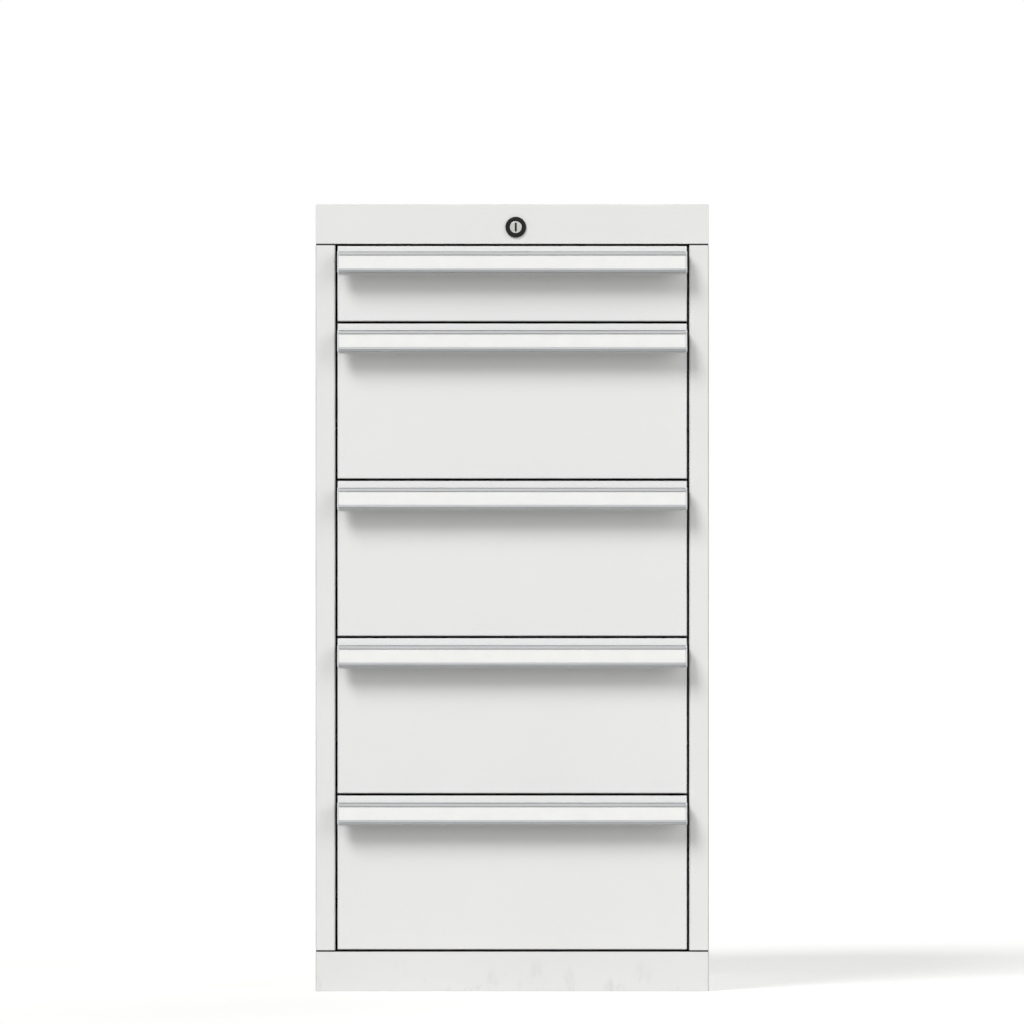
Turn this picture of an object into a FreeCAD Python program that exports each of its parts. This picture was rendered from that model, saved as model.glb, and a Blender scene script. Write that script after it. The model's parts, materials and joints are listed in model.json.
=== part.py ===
import FreeCAD, Part
import math
import os

# A modular drawer cabinet in folded sheet steel: a carcass with slotted uprights, one low and
# four tall drawers on telescopic ball slides, and a central lock in the head rail.
# Millimetres. X runs to the right seen from the front, Y to the back, Z up. The origin is the
# centre of the footprint on the floor, so the drawers open towards -Y.

# Carcass
WIDTH = 500.0
DEPTH = 600.0
PITCH = 50.0  # height grid of the slots in the uprights
FRONT_UNITS = (2, 4, 4, 4, 4)  # heights of the drawer modules in pitches, from the top
PLINTH_HEIGHT = 50.0
HEAD_HEIGHT = 50.0
STILE_WIDTH = 25.0
STILE_RETURN = 15.0
REAR_FLANGE = 20.0
SHEET = 1.25
BEND = 0.9  # inside radius of a fold in the carcass sheet
NEST_GAP = 0.2  # between one sheet and another that is pushed inside it
JOINT_GAP = 2.0  # shadow joint between a side panel and the cap or the plinth
BACK_SHEET = 1.0
BACK_FLANGE = 12.0
HEAD_LIP = 13.0
PLINTH_LIP = 35.0
DECK_FLANGE = 25.0
FLOOR_HOLE_RADIUS = 5.5
FLOOR_HOLE_INSET = 20.0  # from the plinth's outside to a hole's centre

# Uprights
UPRIGHT_SHEET = 2.0
UPRIGHT_WIDTH = 30.0
UPRIGHT_FOOT = 10.0
REAR_UPRIGHT_INSET = 72.0  # from the back of the cabinet to the rear upright's middle
SLOT_HEIGHT = 24.0
SLOT_WIDTH = 3.6
RAIL_SETBACK = 1.0  # of the rails' mounting plane, outside the edge of the opening

# Slides: the heights and widths of the nested rails follow from the balls between them
SLIDE_THICKNESS = 17.0
RAIL_SHEET = 1.6
RAIL_RISE = 37.5  # slide centre above the bottom of its module
RAIL_FRONT_GAP = 3.0  # from the back of a drawer front to its rails
RAIL_REAR_GAP = 64.0  # from the rails to the back of the cabinet
OVERLAP = 15.0  # how much less a drawer travels than its rails are long
DRAWER_RAIL_HEIGHT = 27.4
DRAWER_FLANGE_WIDTH = 8.8
LIP_DEPTH = 2.0
CABINET_LIP_REACH = 11.9
MIDDLE_LIP_REACH = 14.4
BALL_RADIUS = 2.4
CAGE_WEB = 0.7
CAGE_GAP = 0.5
CAGE_END = 10.0  # kept free between a cage and the end of its rails with the drawer open
HOOK_HEIGHT = 16.0
HOOK_NOSE = 5.0
HOOK_REACH = 6.5

# Drawers
FRONT_GAP = 3.0  # between two drawer fronts, and from them to the head rail and the plinth
SIDE_GAP = 3.0  # between a drawer front and a stile
FRONT_THICKNESS = 18.0
FRONT_SHEET = 1.0
FRONT_RADIUS = 1.6
FRONT_LIP = 18.0
TRAY_SHEET = 1.0
TRAY_BEND = 1.0
TRAY_REAR_GAP = 62.0  # from a tray to the back of the cabinet
TRAY_FLOOR_GAP = 8.0
TRAY_HEAD_GAP = 12.0
TRAY_LIP = 4.0

# Handle and label
HANDLE_DROP = 10.2  # from the top of the module to the top of the handle
HANDLE_HEIGHT = 27.5
HANDLE_SHEET = 2.0
HANDLE_BEND = 1.2
HANDLE_TOP_REACH = 21.0
HANDLE_LOW_REACH = 27.0
HANDLE_CURL = 5.0
HANDLE_END_GAP = 2.0
LABEL_THICKNESS = 1.0
LABEL_PLAY = 0.3
CLAW_WALL = 1.2
CLAW_COVER = 1.8

# Lock
LOCK_X = 4.5
LOCK_Z_BELOW_TOP = 29.0
ROSETTE_RADIUS = 13.2
ROSETTE_THICKNESS = 2.5
ROSETTE_BEVEL = 0.8
LOCK_BODY_RADIUS = 9.3
LOCK_BODY_LENGTH = 20.0
PLUG_RADIUS = 7.7
PLUG_BEVEL = 0.4
TURN_GAP = 0.06  # radial play of the plug in its housing
LOCK_HOLE_PLAY = 0.15
KEY_SLOT_HEIGHT = 11.5
KEY_SLOT_WIDTH = 2.4
KEY_SLOT_DEPTH = 9.0
NUT_FLATS = 24.0
NUT_THICKNESS = 4.0
TANG_SIDE = 6.0
CAM_THICKNESS = 2.0
CAM_RADIUS = 8.0
CAM_HUB_RADIUS = 7.5
CAM_TIP_RADIUS = 4.5
CAM_PIN_RADIUS = 2.0
CAM_START = -45.0  # degrees from straight up; a quarter turn takes it to +45
CAM_SLOT_PLAY = 0.4
SLIDER_THICKNESS = 2.0
SLIDER_HEIGHT = 18.0
SLIDER_GAP = 0.5
SLIDER_EDGE = 3.5  # around the slider's slots
SLIDER_MARGIN = 14.0  # past the lock at the slider's end, and past the slider's ends in its channel
CARRIER_SHEET = 1.2
CARRIER_LIP = 3.0
CARRIER_FLANGE = 15.0
BAR_THICKNESS = 3.0
BAR_SIDE_GAP = 4.0  # from the rail plane to the bar
BAR_FLAG = 11.0  # how far the top of the bar widens towards the middle
BAR_PIN_RADIUS = 2.5
BAR_PIN_PLAY = 0.2
BAR_HEAD_RISE = 4.5  # from the head rail's lower edge to the bar's flag
BAR_FLAG_HEIGHT = 16.0
NOSE_HEIGHT = 7.0
NOSE_TIP_GAP = 5.5  # from a tray's side to the tip of a nose
NOSE_ABOVE_RAIL = 2.5
NOSE_CATCH_GAP = 3.0
NOSE_PLAY = 1.5  # between a nose and the catch behind it
CATCH_HEIGHT = 7.0
CATCH_REACH = 12.0
CATCH_THICKNESS = 3.0
GUIDE_WALL = 2.1
GUIDE_PLAY = 0.4
GUIDE_HEIGHT = 16.0

# Sizes that follow from those above
HEIGHT = PLINTH_HEIGHT + PITCH * sum(FRONT_UNITS) + HEAD_HEIGHT
HALF = WIDTH / 2
FRONT = -DEPTH / 2
BACK = DEPTH / 2
HEAD_Z = HEIGHT - HEAD_HEIGHT
OPENING = HALF - STILE_WIDTH
RAIL_PLANE = OPENING + RAIL_SETBACK
TRAY_HALF = RAIL_PLANE - SLIDE_THICKNESS
TRAY_FRONT = FRONT + FRONT_THICKNESS
RAIL_FRONT = TRAY_FRONT + RAIL_FRONT_GAP
RAIL_BACK = BACK - RAIL_REAR_GAP
TRAVEL = RAIL_BACK - RAIL_FRONT - OVERLAP

DRAWER_HALF = DRAWER_RAIL_HEIGHT / 2
MIDDLE_HALF = DRAWER_HALF + 2 * BALL_RADIUS + RAIL_SHEET
CABINET_HALF = MIDDLE_HALF + 2 * BALL_RADIUS + RAIL_SHEET
OUTER_CAGE_U = RAIL_SHEET + CAGE_GAP
MIDDLE_U = OUTER_CAGE_U + CAGE_WEB + CAGE_GAP
INNER_CAGE_U = MIDDLE_U + RAIL_SHEET + CAGE_GAP

LOCK_Z = HEIGHT - LOCK_Z_BELOW_TOP
STROKE = 2 * CAM_RADIUS * math.sin(math.radians(-CAM_START))
CAM_FRONT = FRONT + LOCK_BODY_LENGTH
CAM_BACK = CAM_FRONT + CAM_THICKNESS
LIP_FRONT = CAM_BACK + SLIDER_GAP
SLIDER_FRONT = LIP_FRONT + CARRIER_SHEET + SLIDER_GAP
SLIDER_BACK = SLIDER_FRONT + SLIDER_THICKNESS
SLIDER_LOW = LOCK_Z + CAM_RADIUS - SLIDER_HEIGHT / 2
BAR_FRONT = SLIDER_BACK + 2 * SLIDER_GAP
BAR_BACK = BAR_FRONT + BAR_THICKNESS
BAR_INNER = RAIL_PLANE + BAR_SIDE_GAP
BAR_OUTER = HALF - SHEET - UPRIGHT_SHEET - NEST_GAP - GUIDE_WALL - GUIDE_PLAY
GUIDE_BACK = BAR_BACK + GUIDE_PLAY + GUIDE_WALL
FRONT_UPRIGHT_Y = GUIDE_BACK + UPRIGHT_WIDTH / 2
REAR_UPRIGHT_Y = BACK - REAR_UPRIGHT_INSET
NOSE_LOW = RAIL_RISE + CABINET_HALF + NOSE_ABOVE_RAIL
CATCH_LOW = NOSE_LOW + NOSE_HEIGHT + NOSE_CATCH_GAP

AXES = {"XY": FreeCAD.Vector(0, 0, 1), "XZ": FreeCAD.Vector(0, 1, 0), "YZ": FreeCAD.Vector(1, 0, 0)}


def point(plane, a, b, along):
    """The point (a, b) of a section plane, at `along` on the plane's normal."""
    if plane == "XY":
        return FreeCAD.Vector(a, b, along)
    if plane == "XZ":
        return FreeCAD.Vector(a, along, b)
    return FreeCAD.Vector(along, a, b)


def box(x, y, z):
    """A block between the two limits given for each axis."""
    return Part.makeBox(x[1] - x[0], y[1] - y[0], z[1] - z[0], FreeCAD.Vector(x[0], y[0], z[0]))


def upright_solid(solid):
    """A swept solid with its faces turned outwards."""
    if solid.Volume < 0:
        solid.reverse()
    return solid


def prism(corners, plane, start, end):
    """A flat outline swept straight from `start` to `end` along the plane's normal."""
    wire = Part.makePolygon([point(plane, a, b, start) for a, b in corners + corners[:1]])
    return upright_solid(Part.Face(wire).extrude(AXES[plane] * (end - start)))


def rod(centre, radius, plane, start, end):
    """A round bar along the plane's normal."""
    return Part.makeCylinder(radius, end - start, point(plane, *centre, start), AXES[plane])


def side_of_sheet(line, offset, middles):
    """One face of a folded sheet: the pieces of a path beside `line`. `middles` holds each
    bend's radius at the centreline, and is 0 at a square corner."""
    steps = [(b - a).normalize() for a, b in zip(line, line[1:])]
    lefts = [FreeCAD.Vector(-d.y, d.x, 0) for d in steps]
    pieces = []
    here = line[0] + lefts[0] * offset
    for index, middle in enumerate(middles):
        corner = line[index + 1]
        before, after = steps[index : index + 2]
        left, next_left = lefts[index : index + 2]
        if not middle:
            spot = corner + (left + next_left) * (offset / (1 + left.dot(next_left)))
            pieces.append((here, spot))
            here = spot
            continue
        turn = math.atan2(before.x * after.y - before.y * after.x, before.dot(after))
        way = math.copysign(1, turn)
        setback = middle * math.tan(abs(turn) / 2)
        first = corner - before * setback
        last = corner + after * setback
        centre = first + left * (middle * way)
        start = first + left * offset
        end = last + next_left * offset
        outward = (start - centre) + (end - centre)
        halfway = centre + outward.normalize() * (middle - way * offset)
        pieces.append((here, start))
        pieces.append((start, halfway, end))
        here = end
    pieces.append((here, line[-1] + lefts[-1] * offset))
    return pieces


def folded(corners, thickness, bend, plane, start, end):
    """A folded sheet: the open centreline through `corners` made `thickness` thick, with `bend`
    as the inside radius of its folds, or square folds where `bend` is 0, swept straight from
    `start` to `end`. `bend` may also be a list with a radius for each fold."""
    line = [FreeCAD.Vector(a, b, 0) for a, b in corners]
    bends = bend if isinstance(bend, list) else [bend] * (len(corners) - 2)
    middles = [radius and radius + thickness / 2 for radius in bends]
    one = side_of_sheet(line, thickness / 2, middles)
    other = side_of_sheet(line, -thickness / 2, middles)
    other = [tuple(reversed(piece)) for piece in reversed(other)]
    pieces = one + [(one[-1][-1], other[0][0])] + other + [(other[-1][-1], one[0][0])]
    edges = []
    for piece in pieces:
        spots = [point(plane, p.x, p.y, start) for p in piece]
        edges.append((Part.LineSegment if len(spots) == 2 else Part.Arc)(*spots).toShape())
    return upright_solid(Part.Face(Part.Wire(edges)).extrude(AXES[plane] * (end - start)))


def joined(first, *others):
    """Pieces that are welded, folded or moulded in one."""
    return first.multiFuse(list(others)).removeSplitter()


def rounded(shape, radius, wanted):
    """`shape` with rounded edges where `wanted` says so of an edge's middle."""
    return shape.makeFillet(radius, [e for e in shape.Edges if wanted(e.CenterOfMass)])


def bevelled(shape, size, y):
    """`shape` with bevelled edges where it ends at `y`."""
    return shape.makeChamfer(size, [e for e in shape.Edges if near(e.CenterOfMass.y, y)])


def mirrored(shape):
    return shape.mirror(FreeCAD.Vector(0, 0, 0), FreeCAD.Vector(1, 0, 0))


def pair(left):
    """A left-hand piece and its mirror image on the right."""
    return Part.makeCompound([left, mirrored(left)])


def near(value, other):
    return abs(value - other) < 1e-6


# Carcass


def side_panel():
    """The left side: wall, front stile with its return, and rear flange, folded from one sheet."""
    half = SHEET / 2
    corners = [
        (-OPENING - half, FRONT + STILE_RETURN),
        (-OPENING - half, FRONT + half),
        (-HALF + half, FRONT + half),
        (-HALF + half, BACK - half),
        (-HALF + REAR_FLANGE, BACK - half),
    ]
    return folded(corners, SHEET, BEND, "XY", PLINTH_HEIGHT + JOINT_GAP, HEAD_Z - JOINT_GAP)


def back_panel():
    """The back, inside the side panels' rear flanges, with a fold at its top and bottom."""
    half = BACK_SHEET / 2
    plane = BACK - SHEET - half
    corners = [
        (plane - BACK_FLANGE, PLINTH_HEIGHT + half),
        (plane, PLINTH_HEIGHT + half),
        (plane, HEAD_Z - half),
        (plane - BACK_FLANGE, HEAD_Z - half),
    ]
    side = HALF - SHEET - BEND - NEST_GAP
    return folded(corners, BACK_SHEET, BEND, "YZ", -side, side)


def top_cover():
    """The cap on the uprights. Its front is the head rail, with the hole for the lock."""
    outer = box((-HALF, HALF), (FRONT, BACK), (HEAD_Z, HEIGHT))
    outer = rounded(outer, BEND + SHEET, lambda m: near(m.z, HEIGHT))
    inner = box(
        (-HALF + SHEET, HALF - SHEET), (FRONT + SHEET, BACK - SHEET), (HEAD_Z, HEIGHT - SHEET)
    )
    lip = box(
        (-HALF + SHEET, HALF - SHEET), (FRONT + SHEET, FRONT + HEAD_LIP), (HEAD_Z, HEAD_Z + SHEET)
    )
    hole = rod((LOCK_X, LOCK_Z), LOCK_BODY_RADIUS + LOCK_HOLE_PLAY, "XZ", FRONT - 1, FRONT + 2 * SHEET)
    return joined(outer.cut(inner), lip).cut(hole)


def floor_holes():
    """Where the four floor bolts go, in the plinth's corners."""
    x = HALF - FLOOR_HOLE_INSET
    y = BACK - FLOOR_HOLE_INSET
    return [(-x, -y), (x, -y), (-x, y), (x, y)]


def base_plinth():
    """The base: four walls with lips that stand on the floor, and a bolt hole in each corner."""
    outer = box((-HALF, HALF), (FRONT, BACK), (0, PLINTH_HEIGHT))
    corner = BEND + SHEET
    outer = rounded(outer, corner, lambda m: near(abs(m.x), HALF) and near(abs(m.y), BACK))
    inner = box(
        (-HALF + SHEET, HALF - SHEET), (FRONT + SHEET, BACK - SHEET), (SHEET, PLINTH_HEIGHT)
    )
    window = box(
        (-HALF + PLINTH_LIP, HALF - PLINTH_LIP),
        (FRONT + PLINTH_LIP, BACK - PLINTH_LIP),
        (0, SHEET),
    )
    holes = [rod(c, FLOOR_HOLE_RADIUS, "XY", -1, 2 * SHEET) for c in floor_holes()]
    return outer.cut(inner).cut(window).cut(holes)


def bottom_deck():
    """The sheet that closes the carcass above the plinth, folded down on its four sides."""
    x = HALF - SHEET - NEST_GAP
    y = BACK - SHEET - NEST_GAP
    outer = box((-x, x), (-y, y), (PLINTH_HEIGHT - DECK_FLANGE, PLINTH_HEIGHT))
    outer = rounded(outer, BEND + SHEET, lambda m: near(m.z, PLINTH_HEIGHT))
    x -= SHEET
    y -= SHEET
    inner = box((-x, x), (-y, y), (PLINTH_HEIGHT - DECK_FLANGE, PLINTH_HEIGHT - SHEET))
    return outer.cut(inner)


def upright(y):
    """A slotted upright of the left side, a hat section that stands on the deck and carries
    the cap, with its feet on the side panel."""
    half = UPRIGHT_SHEET / 2
    foot = HALF - SHEET - half
    face = RAIL_PLANE + half
    near_edge = y - UPRIGHT_WIDTH / 2 + half
    far_edge = y + UPRIGHT_WIDTH / 2 - half
    corners = [
        (-foot, near_edge - UPRIGHT_FOOT),
        (-foot, near_edge),
        (-face, near_edge),
        (-face, far_edge),
        (-foot, far_edge),
        (-foot, far_edge + UPRIGHT_FOOT),
    ]
    hat = folded(corners, UPRIGHT_SHEET, 0, "XY", PLINTH_HEIGHT, HEIGHT - SHEET)
    slots = []
    for step in range(sum(FRONT_UNITS)):
        z = PLINTH_HEIGHT + RAIL_RISE + step * PITCH
        slots.append(
            box(
                (-RAIL_PLANE - 2 * UPRIGHT_SHEET, -RAIL_PLANE + 1),
                (y - SLOT_WIDTH / 2, y + SLOT_WIDTH / 2),
                (z - SLOT_HEIGHT / 2, z + SLOT_HEIGHT / 2),
            )
        )
    return hat.cut(slots)


def slotted_uprights():
    left = [upright(FRONT_UPRIGHT_Y), upright(REAR_UPRIGHT_Y)]
    return Part.makeCompound(left + [mirrored(u) for u in left])


# Slides. A rail's section is drawn as seen from the front on the left side: u counts from the
# mounting plane towards the drawer and v up from the slide's centre.


def rail(corners, rise):
    spots = [(-RAIL_PLANE + u, rise + v) for u, v in corners]
    return folded(spots, RAIL_SHEET, 0, "XZ", RAIL_FRONT, RAIL_BACK)


def channel(web, reach, half):
    """Centreline of a rail that is open towards the drawer, with lips on both flanges."""
    near_u = web + RAIL_SHEET / 2
    far_u = reach - RAIL_SHEET / 2
    middle = half - RAIL_SHEET / 2
    edge = half - RAIL_SHEET - LIP_DEPTH
    upper = [(far_u, edge), (far_u, middle), (near_u, middle)]
    return upper + [(u, -v) for u, v in reversed(upper)]


def hook(y, rise):
    """A tab of the cabinet rail that passes through an upright's slot and drops behind it."""
    behind = -RAIL_PLANE - UPRIGHT_SHEET - NEST_GAP
    tip = -RAIL_PLANE - HOOK_REACH
    low = rise - SLOT_HEIGHT / 2 + NEST_GAP
    corners = [
        (-RAIL_PLANE, low),
        (behind, low),
        (behind, low - HOOK_NOSE),
        (tip, low - HOOK_NOSE),
        (tip, low + HOOK_HEIGHT),
        (-RAIL_PLANE, low + HOOK_HEIGHT),
    ]
    return prism(corners, "XZ", y - RAIL_SHEET / 2, y + RAIL_SHEET / 2)


def cabinet_rails(bottom):
    centre = bottom + RAIL_RISE
    body = rail(channel(0, CABINET_LIP_REACH, CABINET_HALF), centre)
    hooks = [hook(y, centre) for y in (FRONT_UPRIGHT_Y, REAR_UPRIGHT_Y)]
    return pair(joined(body, *hooks))


def middle_rails(bottom):
    section = channel(MIDDLE_U, MIDDLE_LIP_REACH, MIDDLE_HALF)
    return pair(rail(section, bottom + RAIL_RISE))


def drawer_rails(bottom):
    half = DRAWER_HALF - RAIL_SHEET / 2
    web = SLIDE_THICKNESS - RAIL_SHEET / 2
    edge = SLIDE_THICKNESS - DRAWER_FLANGE_WIDTH
    section = [(edge, half), (web, half), (web, -half), (edge, -half)]
    return pair(rail(section, bottom + RAIL_RISE))


def cages(bottom, web, flange, reach):
    """The moulded retainers that carry the balls of one gap, two strips joined by a thin web."""
    low = flange + CAGE_GAP
    high = flange + 2 * BALL_RADIUS - CAGE_GAP
    corners = [(web, high), (reach, high), (reach, low), (web + CAGE_WEB, low)]
    corners += [(u, -v) for u, v in reversed(corners)]
    spots = [(-RAIL_PLANE + u, bottom + RAIL_RISE + v) for u, v in corners]
    end = TRAVEL / 4 + CAGE_END
    return pair(prism(spots, "XZ", RAIL_FRONT + end, RAIL_BACK - end))


def outer_cages(bottom):
    reach = CABINET_LIP_REACH - RAIL_SHEET - CAGE_GAP
    return cages(bottom, OUTER_CAGE_U, MIDDLE_HALF, reach)


def inner_cages(bottom):
    reach = MIDDLE_LIP_REACH - RAIL_SHEET - CAGE_GAP
    return cages(bottom, INNER_CAGE_U, DRAWER_HALF, reach)


# Drawers


def tray(bottom, top):
    """The drawer's tray: floor and sides folded from one sheet, end walls welded in, and on
    the left the catch that the lock bar holds."""
    low = bottom + TRAY_FLOOR_GAP
    rim = top - TRAY_HEAD_GAP
    back = BACK - TRAY_REAR_GAP
    half = TRAY_SHEET / 2
    side = TRAY_HALF - half
    corners = [
        (-TRAY_HALF - TRAY_LIP, rim - half),
        (-side, rim - half),
        (-side, low + half),
        (side, low + half),
        (side, rim - half),
        (TRAY_HALF + TRAY_LIP, rim - half),
    ]
    shell = folded(corners, TRAY_SHEET, [0, TRAY_BEND, TRAY_BEND, 0], "XZ", TRAY_FRONT, back)
    walls = [
        box((-side, side), (TRAY_FRONT, TRAY_FRONT + TRAY_SHEET), (low + half, rim)),
        box((-side, side), (back - TRAY_SHEET, back), (low + half, rim)),
    ]
    hold = BAR_BACK + NOSE_PLAY
    catch = box(
        (-TRAY_HALF - CATCH_REACH, -TRAY_HALF),
        (hold, hold + CATCH_THICKNESS),
        (bottom + CATCH_LOW, bottom + CATCH_LOW + CATCH_HEIGHT),
    )
    return Part.makeCompound([joined(shell, *walls), catch])


def drawer_front(bottom, top):
    """The front: a shallow folded pan with lips at its back, flush with the stiles."""
    x = OPENING - SIDE_GAP
    low = max(bottom + FRONT_GAP / 2, PLINTH_HEIGHT + FRONT_GAP)
    high = min(top - FRONT_GAP / 2, HEAD_Z - FRONT_GAP)
    outer = box((-x, x), (FRONT, TRAY_FRONT), (low, high))
    outer = rounded(outer, FRONT_RADIUS, lambda m: near(m.y, FRONT))
    inner = box(
        (-x + FRONT_SHEET, x - FRONT_SHEET),
        (FRONT + FRONT_SHEET, TRAY_FRONT - FRONT_SHEET),
        (low + FRONT_SHEET, high - FRONT_SHEET),
    )
    window = box(
        (-x + FRONT_LIP, x - FRONT_LIP),
        (TRAY_FRONT - FRONT_SHEET, TRAY_FRONT),
        (low + FRONT_LIP, high - FRONT_LIP),
    )
    return outer.cut(inner).cut(window)


def handle_line(top):
    """Centreline of the handle's section: mounting flange, top, leaning face and curled edge."""
    half = HANDLE_SHEET / 2
    high = top - HANDLE_DROP - half
    low = high - HANDLE_HEIGHT + HANDLE_SHEET
    return [
        (FRONT - half, low - half),
        (FRONT - half, high),
        (FRONT - HANDLE_TOP_REACH, high),
        (FRONT - HANDLE_LOW_REACH, low),
        (FRONT - HANDLE_LOW_REACH + HANDLE_CURL, low),
    ]


def on_face(top, spots):
    """Points given on the handle's leaning face, as (distance down it, distance out of it)."""
    start, end = (FreeCAD.Vector(a, b, 0) for a, b in handle_line(top)[2:4])
    down = (end - start).normalize()
    out = FreeCAD.Vector(down.y, -down.x, 0)
    base = start + out * (HANDLE_SHEET / 2)
    placed = [base + down * s + out * n for s, n in spots]
    return [(p.x, p.y) for p in placed]


def face_length():
    return math.hypot(HANDLE_LOW_REACH - HANDLE_TOP_REACH, HANDLE_HEIGHT - HANDLE_SHEET)


def handle(top):
    """The extruded handle over the full width, with two claws that hold the label strip."""
    x = OPENING - SIDE_GAP - HANDLE_END_GAP
    body = folded(handle_line(top), HANDLE_SHEET, HANDLE_BEND, "YZ", -x, x)
    rise = LABEL_THICKNESS + LABEL_PLAY
    foot = -HANDLE_SHEET / 4
    claw = [
        (CLAW_WALL, foot),
        (CLAW_WALL, rise + CLAW_WALL),
        (2 * CLAW_WALL + CLAW_COVER, rise + CLAW_WALL),
        (2 * CLAW_WALL + CLAW_COVER, rise),
        (2 * CLAW_WALL, rise),
        (2 * CLAW_WALL, foot),
    ]
    lower_claw = [(face_length() - s, n) for s, n in claw]
    claws = [prism(on_face(top, spots), "YZ", -x, x) for spots in (claw, lower_claw)]
    return joined(body, *claws)


def label(top):
    """The strip of card behind the claws."""
    x = OPENING - SIDE_GAP - HANDLE_END_GAP
    near_end = 2 * CLAW_WALL + NEST_GAP
    far_end = face_length() - near_end
    spots = [(near_end, 0), (near_end, LABEL_THICKNESS), (far_end, LABEL_THICKNESS), (far_end, 0)]
    return prism(on_face(top, spots), "YZ", -x, x)


# Lock. The plug turns a quarter turn clockwise to lock. Its cam pushes the slider to the right,
# and the slider's sloping slot lifts the bar, whose noses then stand in front of the catches.


def lock_rod(radius, start, end):
    return rod((LOCK_X, LOCK_Z), radius, "XZ", start, end)


def lock_housing():
    face = FRONT - ROSETTE_THICKNESS
    end = CAM_FRONT - SLIDER_GAP
    rosette = bevelled(lock_rod(ROSETTE_RADIUS, face, FRONT), ROSETTE_BEVEL, face)
    body = joined(rosette, lock_rod(LOCK_BODY_RADIUS, FRONT, end))
    return body.cut(lock_rod(PLUG_RADIUS + TURN_GAP, face, end))


def lock_nut():
    radius = NUT_FLATS / math.sqrt(3)
    turns = [math.radians(60 * k) for k in range(6)]
    corners = [(LOCK_X + radius * math.cos(t), LOCK_Z + radius * math.sin(t)) for t in turns]
    start = FRONT + SHEET
    body = prism(corners, "XZ", start, start + NUT_THICKNESS)
    return body.cut(lock_rod(LOCK_BODY_RADIUS + TURN_GAP, start, start + NUT_THICKNESS))


def tang(side, start, end):
    half = side / 2
    return box((LOCK_X - half, LOCK_X + half), (start, end), (LOCK_Z - half, LOCK_Z + half))


def lock_plug():
    face = FRONT - ROSETTE_THICKNESS
    barrel = bevelled(lock_rod(PLUG_RADIUS, face, CAM_FRONT), PLUG_BEVEL, face)
    body = joined(barrel, tang(TANG_SIDE, CAM_FRONT, CAM_BACK))
    straight = KEY_SLOT_HEIGHT / 2 - KEY_SLOT_WIDTH / 2
    slot = box(
        (LOCK_X - KEY_SLOT_WIDTH / 2, LOCK_X + KEY_SLOT_WIDTH / 2),
        (face, face + KEY_SLOT_DEPTH),
        (LOCK_Z - straight, LOCK_Z + straight),
    )
    ends = [
        rod((LOCK_X, LOCK_Z + way * straight), KEY_SLOT_WIDTH / 2, "XZ", face, face + KEY_SLOT_DEPTH)
        for way in (-1, 1)
    ]
    return body.cut(joined(slot, *ends))


def cam_pin_spot():
    """Where the cam's pin is at rest."""
    turn = math.radians(CAM_START)
    return LOCK_X + CAM_RADIUS * math.sin(turn), LOCK_Z + CAM_RADIUS * math.cos(turn)


def lock_cam():
    """A lever on the plug's square tang, with the pin that drives the slider."""
    x, z = cam_pin_spot()
    across = FreeCAD.Vector(z - LOCK_Z, 0, LOCK_X - x).normalize()
    hub = FreeCAD.Vector(LOCK_X, 0, LOCK_Z)
    tip = FreeCAD.Vector(x, 0, z)
    sides = [
        hub + across * CAM_TIP_RADIUS,
        tip + across * CAM_TIP_RADIUS,
        tip - across * CAM_TIP_RADIUS,
        hub - across * CAM_TIP_RADIUS,
    ]
    lever = joined(
        lock_rod(CAM_HUB_RADIUS, CAM_FRONT, CAM_BACK),
        prism([(p.x, p.z) for p in sides], "XZ", CAM_FRONT, CAM_BACK),
        rod((x, z), CAM_TIP_RADIUS, "XZ", CAM_FRONT, CAM_BACK),
        rod((x, z), CAM_PIN_RADIUS, "XZ", CAM_BACK, SLIDER_BACK),
    )
    return lever.cut(tang(TANG_SIDE + TURN_GAP, CAM_FRONT, CAM_BACK))


def bar_pin_spot():
    """Where the bar's pin is at rest: as far left as the slider's end allows."""
    x = -HALF + SHEET + 2 * SLIDER_EDGE + BAR_PIN_RADIUS + BAR_PIN_PLAY + STROKE
    z = HEAD_Z + BAR_HEAD_RISE + BAR_FLAG_HEIGHT / 2
    return x, z


def slider_outline():
    """The slider's outline: a deep left end around its sloping slot, and a straight shank."""
    pin_x, pin_z = bar_pin_spot()
    around = BAR_PIN_RADIUS + BAR_PIN_PLAY + SLIDER_EDGE
    left = pin_x - STROKE - around
    right = LOCK_X + SLIDER_MARGIN
    low = pin_z - around
    high = SLIDER_LOW + SLIDER_HEIGHT
    knee = pin_x + around
    shank = knee + SLIDER_LOW - low
    return [
        (left, low),
        (knee, low),
        (shank, SLIDER_LOW),
        (right, SLIDER_LOW),
        (right, high),
        (left, high),
    ]


def lock_slider():
    """A flat slider from the lock to the left side: an upright slot takes the cam's pin, and a
    slot at 45 degrees lifts the bar by as much as the slider moves."""
    pin_x, pin_z = bar_pin_spot()
    cam_x, cam_z = cam_pin_spot()
    radius = BAR_PIN_RADIUS + BAR_PIN_PLAY
    plate = prism(slider_outline(), "XZ", SLIDER_FRONT, SLIDER_BACK)
    cross = radius / math.sqrt(2)
    slope = [
        (pin_x + cross, pin_z + cross),
        (pin_x - STROKE + cross, pin_z + STROKE + cross),
        (pin_x - STROKE - cross, pin_z + STROKE - cross),
        (pin_x - cross, pin_z - cross),
    ]
    ends = [(pin_x, pin_z), (pin_x - STROKE, pin_z + STROKE)]
    half = CAM_PIN_RADIUS + CAM_SLOT_PLAY
    upright_slot = box(
        (cam_x - half, cam_x + half),
        (SLIDER_FRONT, SLIDER_BACK),
        (cam_z - half, LOCK_Z + CAM_RADIUS + half),
    )
    cuts = [
        prism(slope, "XZ", SLIDER_FRONT, SLIDER_BACK),
        *[rod(end, radius, "XZ", SLIDER_FRONT, SLIDER_BACK) for end in ends],
        upright_slot,
    ]
    return plate.cut(cuts)


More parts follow.
